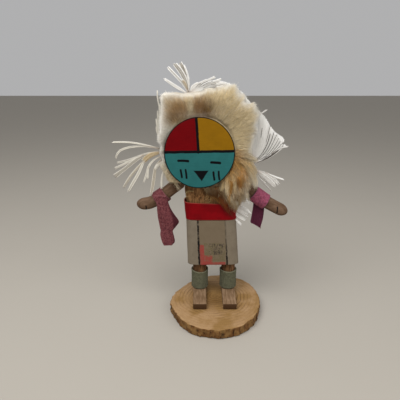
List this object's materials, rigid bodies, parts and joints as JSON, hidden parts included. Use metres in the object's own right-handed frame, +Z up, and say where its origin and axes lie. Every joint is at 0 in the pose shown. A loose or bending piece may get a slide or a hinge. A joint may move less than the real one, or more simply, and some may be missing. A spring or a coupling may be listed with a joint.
{
  "type": "kachina doll",
  "caption": "Standing wooden figure with a round painted mask, fur and feather ruff, suede kilt and wraps, on a slice of a log.",
  "frame": {"origin": "middle of the log slice's underside, where the doll stands", "axes": "+Z up, -Y the way the mask faces, +X to the right as seen from the front"},
  "size_m": [0.1586, 0.0956, 0.2241],
  "materials": {
    "log_wood": "sawn log with bark edge",
    "foot_wood": "sawn, unpainted",
    "leg_wood": "dowel, stained brown",
    "green_suede": "suede, matt",
    "body_wood": "carved, stained",
    "kilt_suede": "suede, painted panel",
    "red_leather": "satin",
    "arm_wood": "carved, matt",
    "pink_suede": "suede, matt",
    "magenta_suede": "suede, matt",
    "painted_wood": "painted, satin",
    "fur": "rabbit fur",
    "feather": "trimmed feather barbs"
  },
  "bodies": {
    "root": {"base_slice": "log_wood", "left_foot": "foot_wood", "right_foot": "foot_wood", "left_leg": "leg_wood", "right_leg": "leg_wood", "left_leg_wrap": "green_suede", "right_leg_wrap": "green_suede", "body": "body_wood", "kilt": "kilt_suede", "waist_band": "red_leather", "left_arm": "arm_wood", "right_arm": "arm_wood", "left_arm_strap": "pink_suede", "right_arm_strap": "magenta_suede", "mask_disc": "painted_wood", "fur_ruff": "fur", "top_feathers": "feather", "left_side_feather": "feather", "left_feathers": "feather", "right_upper_feathers": "feather", "right_lower_feathers": "feather", "bottom_feathers": "feather"}
  },
  "joints": []
}
